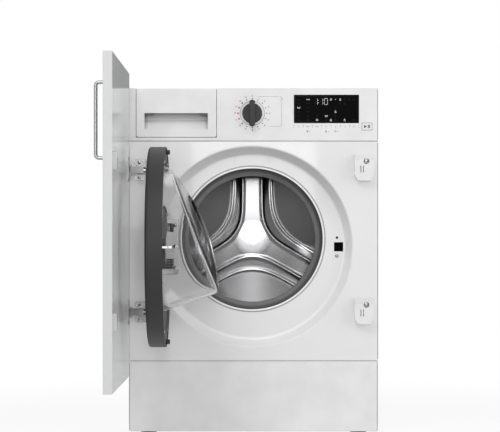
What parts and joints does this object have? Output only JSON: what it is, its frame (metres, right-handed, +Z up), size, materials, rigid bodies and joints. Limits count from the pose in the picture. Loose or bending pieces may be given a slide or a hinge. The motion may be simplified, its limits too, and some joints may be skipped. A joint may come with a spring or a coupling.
{
  "type": "integrated washer dryer",
  "caption": "White built-in washer dryer: box cabinet with a round glass porthole door, a lacquered furniture door on side hinges, a detergent drawer, a dial and a steel drum.",
  "frame": {"origin": "on the floor plane, below the middle of the cabinet's front face", "axes": "+X to the right seen from the front, +Y from the front into the machine, +Z up"},
  "size_m": [0.6355, 1.179, 0.858],
  "materials": {
    "white_enamel": "smooth white enamel on pressed steel",
    "white_plastic": "fine satin white moulding",
    "white_lacquer": "high-gloss light lacquer on board",
    "galvanised_steel": "plain galvanised sheet",
    "stainless_steel": "pressed and perforated stainless sheet",
    "satin_steel": "fine satin bar",
    "zinc_steel": "bright zinc plate",
    "dark_plastic": "dark grey grained moulding",
    "grey_plastic": "plain grey moulding",
    "smoked_plastic": "clear smoked lens",
    "black_glass": "black gloss display cover",
    "clear_glass": "thick moulded clear glass",
    "grey_rubber": "soft grey seal rubber",
    "black_rubber": "black rubber",
    "concrete": "cast concrete",
    "cast_aluminium": "bare casting",
    "motor_enamel": "dark baked enamel",
    "board_green": "coated circuit board"
  },
  "bodies": {
    "cabinet": {"side_panels": "white_enamel", "back_panel": "galvanised_steel", "rear_cover": "galvanised_steel", "top_panel": "galvanised_steel", "base_pan": "galvanised_steel", "spring_crossbar": "galvanised_steel", "front_panel": "white_enamel", "plinth_panel": "white_plastic", "control_panel": "white_plastic", "display_window": "black_glass", "control_board": "board_green", "drawer_housing": "white_plastic", "magnet_catches": "white_plastic", "furniture_hinge_arms": "zinc_steel", "hinge_pins": "zinc_steel", "porthole_hinge_bracket": "zinc_steel", "door_lock": "dark_plastic", "door_gasket": "grey_rubber", "foot_pads": "black_rubber", "foot_studs": "zinc_steel", "drain_pump": "grey_plastic", "internal_hoses": "black_rubber", "inlet_valve": "white_plastic", "drain_outlet": "dark_plastic", "mains_gland": "dark_plastic", "suspension_springs": "zinc_steel", "damper_cylinders": "dark_plastic"},
    "filter_cap": {"filter_cap": "white_plastic"},
    "tub": {"tub_front": "grey_plastic", "tub_rear": "grey_plastic", "counterweights": "concrete", "wash_heater": "stainless_steel", "motor_body": "motor_enamel", "drum_bearings": "zinc_steel", "dryer_ducts": "cast_aluminium", "dryer_heater": "stainless_steel", "fan_housing": "cast_aluminium", "damper_rods": "zinc_steel", "drive_belt": "black_rubber"},
    "drum": {"drum_shell": "stainless_steel", "drum_back": "stainless_steel", "drum_lifters": "grey_plastic", "drum_spider": "cast_aluminium", "drum_pulley": "cast_aluminium"},
    "motor_rotor": {"motor_rotor": "zinc_steel"},
    "fan_wheel": {"fan_wheel": "dark_plastic"},
    "furniture_door": {"furniture_panel": "white_lacquer", "furniture_handle": "satin_steel", "hinge_cups": "zinc_steel", "strike_plates": "white_enamel"},
    "porthole_door": {"porthole_frame": "dark_plastic", "porthole_window": "smoked_plastic", "porthole_inner_ring": "dark_plastic", "porthole_glass": "clear_glass", "latch_hook": "zinc_steel", "porthole_hinge_arms": "zinc_steel"},
    "drawer": {"drawer_front": "white_plastic", "drawer_tray": "white_plastic"},
    "programme_knob": {"programme_knob": "dark_plastic"},
    "start_button": {"start_button": "white_plastic"}
  },
  "joints": [
    {"name": "furniture_door_hinge", "type": "hinge", "parent": "cabinet", "child": "furniture_door", "pos_m": [-0.29275, -0.02875, 0.46], "axis": [0, 0, 1], "range_deg": [-8, 90]},
    {"name": "porthole_hinge", "type": "hinge", "parent": "cabinet", "child": "porthole_door", "pos_m": [-0.222, -0.01, 0.446], "axis": [0, 0, 1], "range_deg": [-8, 90]},
    {"name": "drawer_slide", "type": "slide", "parent": "cabinet", "child": "drawer", "axis": [0, 1, 0], "range_m": [-0.19, 0]},
    {"name": "knob_turn", "type": "hinge", "parent": "cabinet", "child": "programme_knob", "pos_m": [-0.003, -0.01, 0.765], "axis": [0, 1, 0], "continuous": true},
    {"name": "start_press", "type": "slide", "parent": "cabinet", "child": "start_button", "axis": [0, 1, 0], "range_m": [0, 0.0015], "stiffness_N_per_m": 300},
    {"name": "filter_cap_turn", "type": "hinge", "parent": "cabinet", "child": "filter_cap", "pos_m": [-0.12, 0.01, 0.092], "axis": [0, 1, 0], "range_deg": [0, 90]},
    {"name": "tub_float", "type": "slide", "parent": "cabinet", "child": "tub", "axis": [0, 0, 1], "range_m": [-0.008, 0.008], "stiffness_N_per_m": 10000, "springref_m": 0.0399, "deforming": ["door_gasket", "suspension_springs", "internal_hoses"]},
    {"name": "drum_spin", "type": "hinge", "parent": "tub", "child": "drum", "pos_m": [-0.003, 0.25, 0.465], "axis": [0, 1, 0], "continuous": true},
    {"name": "motor_spin", "type": "hinge", "parent": "tub", "child": "motor_rotor", "pos_m": [0.085, 0.4, 0.12], "axis": [0, 1, 0], "continuous": true},
    {"name": "fan_spin", "type": "hinge", "parent": "tub", "child": "fan_wheel", "pos_m": [0.12, 0.4, 0.77], "axis": [0, 0, 1], "continuous": true}
  ],
  "couplings": [
    {"joint": "porthole_hinge", "follows": "furniture_door_hinge", "ratio": 1},
    {"joint": "motor_spin", "follows": "drum_spin", "ratio": 14}
  ]
}
